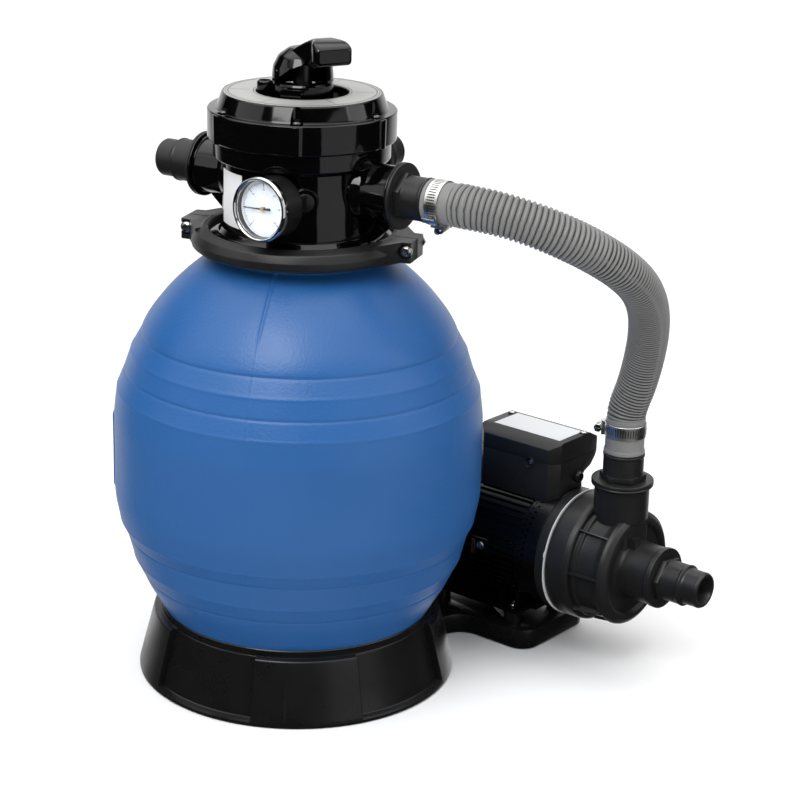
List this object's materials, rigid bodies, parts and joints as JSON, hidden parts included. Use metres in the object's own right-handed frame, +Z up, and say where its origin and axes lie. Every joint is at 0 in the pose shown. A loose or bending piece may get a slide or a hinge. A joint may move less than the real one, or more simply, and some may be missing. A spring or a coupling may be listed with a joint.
{
  "type": "pool pump with sand filter",
  "caption": "Sand filter set: blue tank on a black base, multiport valve with gauge and lever, motor pump on the base's platform, grey ribbed hose from pump to valve.",
  "frame": {"origin": "on the floor, under the middle of the set's box", "axes": "+Z up; +X along the pump's shaft, out of its suction nozzle; +Y from the tank towards the pump"},
  "size_m": [0.4936, 0.4468, 0.6077],
  "materials": {
    "tank_blue": "satin, fine orange peel",
    "base_black": "semi-gloss",
    "valve_black": "high gloss",
    "pump_black": "satin",
    "hose_grey": "satin",
    "steel": "bright zinc and stainless",
    "chrome": "polished",
    "white": "matt white",
    "rubber": "matt",
    "iron": "machined",
    "lens": "clear"
  },
  "bodies": {
    "root": {"tank": "tank_blue", "base": "base_black", "valve_body": "valve_black", "valve_cover": "valve_black", "clamp_front": "pump_black", "clamp_rear": "pump_black", "standpipe": "pump_black", "gauge_case": "pump_black", "valve_plug": "pump_black", "return_adapter": "pump_black", "waste_adapter": "pump_black", "inlet_adapter": "pump_black", "motor_housing": "pump_black", "fan_cover": "pump_black", "terminal_box": "pump_black", "box_lid": "pump_black", "cable_gland": "pump_black", "seal_plate": "pump_black", "volute": "pump_black", "suction_adapter": "pump_black", "discharge_adapter": "pump_black", "hose": "hose_grey", "cuff_valve": "hose_grey", "cuff_pump": "hose_grey", "clamp_bolt_left": "steel", "clamp_bolt_right": "steel", "clamp_nut_left": "steel", "clamp_nut_right": "steel", "hose_clamp_valve": "steel", "hose_clamp_pump": "steel", "bearing_rear": "steel", "bearing_front": "steel", "cover_screw_1": "steel", "cover_screw_2": "steel", "cover_screw_3": "steel", "cover_screw_4": "steel", "cover_screw_5": "steel", "cover_screw_6": "steel", "foot_screw_1": "steel", "foot_screw_2": "steel", "foot_screw_3": "steel", "foot_screw_4": "steel", "gauge_bezel": "chrome", "label_ring": "white", "gauge_dial": "white", "casing_gasket": "white", "tank_o_ring": "rubber", "spoked_gasket": "rubber", "shaft_seal": "rubber", "stator": "iron", "gauge_lens": "lens"},
    "selector": {"selector_collar": "valve_black", "selector_spring": "steel"},
    "diverter": {"diverter": "pump_black"},
    "handle": {"selector_handle": "valve_black", "handle_pin": "steel"},
    "needle": {"gauge_needle": "pump_black"},
    "shaft": {"rotor_shaft": "iron", "fan": "pump_black", "impeller": "pump_black"}
  },
  "joints": [
    {"name": "selector_turn", "type": "hinge", "parent": "root", "child": "selector", "pos_m": [-0.07535, -0.0519, 0.55], "axis": [0, 0, 1], "continuous": true},
    {"name": "diverter_lift", "type": "slide", "parent": "selector", "child": "diverter", "axis": [0, 0, 1], "range_m": [0, 0.0072], "deforming": ["selector_spring"]},
    {"name": "handle_press", "type": "hinge", "parent": "diverter", "child": "handle", "pos_m": [-0.07535, -0.0519, 0.575], "axis": [0.3681, 0.9298, 0], "range_deg": [0, 15], "stiffness_Nm_per_rad": 8, "springref_deg": -28.65},
    {"name": "needle_turn", "type": "hinge", "parent": "root", "child": "needle", "pos_m": [-0.03733, -0.1499, 0.469], "axis": [-0.0836, 0.9955, -0.0454], "range_deg": [-41, 229], "stiffness_Nm_per_rad": 0.0005},
    {"name": "motor_spin", "type": "hinge", "parent": "root", "child": "shaft", "pos_m": [0.02465, 0.1606, 0.098], "axis": [1, 0, 0], "continuous": true}
  ],
  "couplings": [
    {"joint": "diverter_lift", "follows": "handle_press", "m_per_rad": 0.027}
  ]
}
